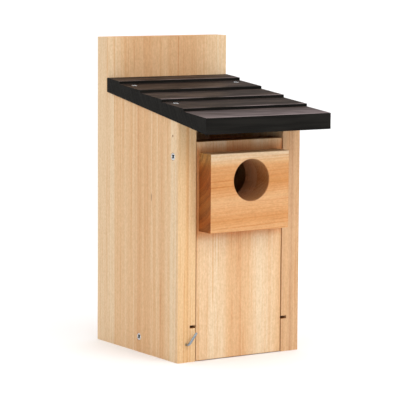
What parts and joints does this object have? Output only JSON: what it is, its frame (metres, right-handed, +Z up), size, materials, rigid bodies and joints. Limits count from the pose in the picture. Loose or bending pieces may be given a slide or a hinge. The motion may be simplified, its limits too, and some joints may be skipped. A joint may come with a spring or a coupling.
{
  "type": "birdhouse",
  "caption": "Wooden nest box with a lapped dark roof, a swing-out front door with a round entrance behind a thick guard block, a raised mesh floor and an L-shaped latch hook.",
  "frame": {"origin": "centre of the overall box on the ground", "axes": "+Z up, front door and entrance face -Y, +X to the right seen from the front"},
  "size_m": [0.142, 0.2, 0.305],
  "materials": {
    "cedar": "unfinished, planed cedar",
    "stained_cedar": "black-brown stain, satin",
    "screw_steel": "zinc-plated",
    "hook_steel": "zinc-plated wire",
    "mesh_steel": "galvanised"
  },
  "bodies": {
    "box": {"back_panel": "cedar", "left_side_panel": "cedar", "right_side_panel": "cedar", "floor_panel": "cedar", "mesh_floor": "mesh_steel", "roof": "stained_cedar", "left_pivot_screw": "screw_steel", "right_pivot_screw": "screw_steel", "left_floor_screw": "screw_steel", "right_floor_screw": "screw_steel", "left_back_screws": "screw_steel", "right_back_screws": "screw_steel", "left_roof_screws": "screw_steel", "right_rear_roof_screw": "screw_steel"},
    "door": {"front_door": "cedar", "predator_guard": "cedar", "guard_screws": "screw_steel"},
    "hook": {"latch_hook": "hook_steel"}
  },
  "joints": [
    {"name": "door_swing", "type": "hinge", "parent": "box", "child": "door", "pos_m": [0, -0.041, 0.197], "axis": [-1, 0, 0], "range_deg": [0, 83]},
    {"name": "latch_turn", "type": "hinge", "parent": "box", "child": "hook", "pos_m": [-0.06, -0.051, 0.0174], "axis": [0, -1, 0], "range_deg": [-39, 51]}
  ]
}
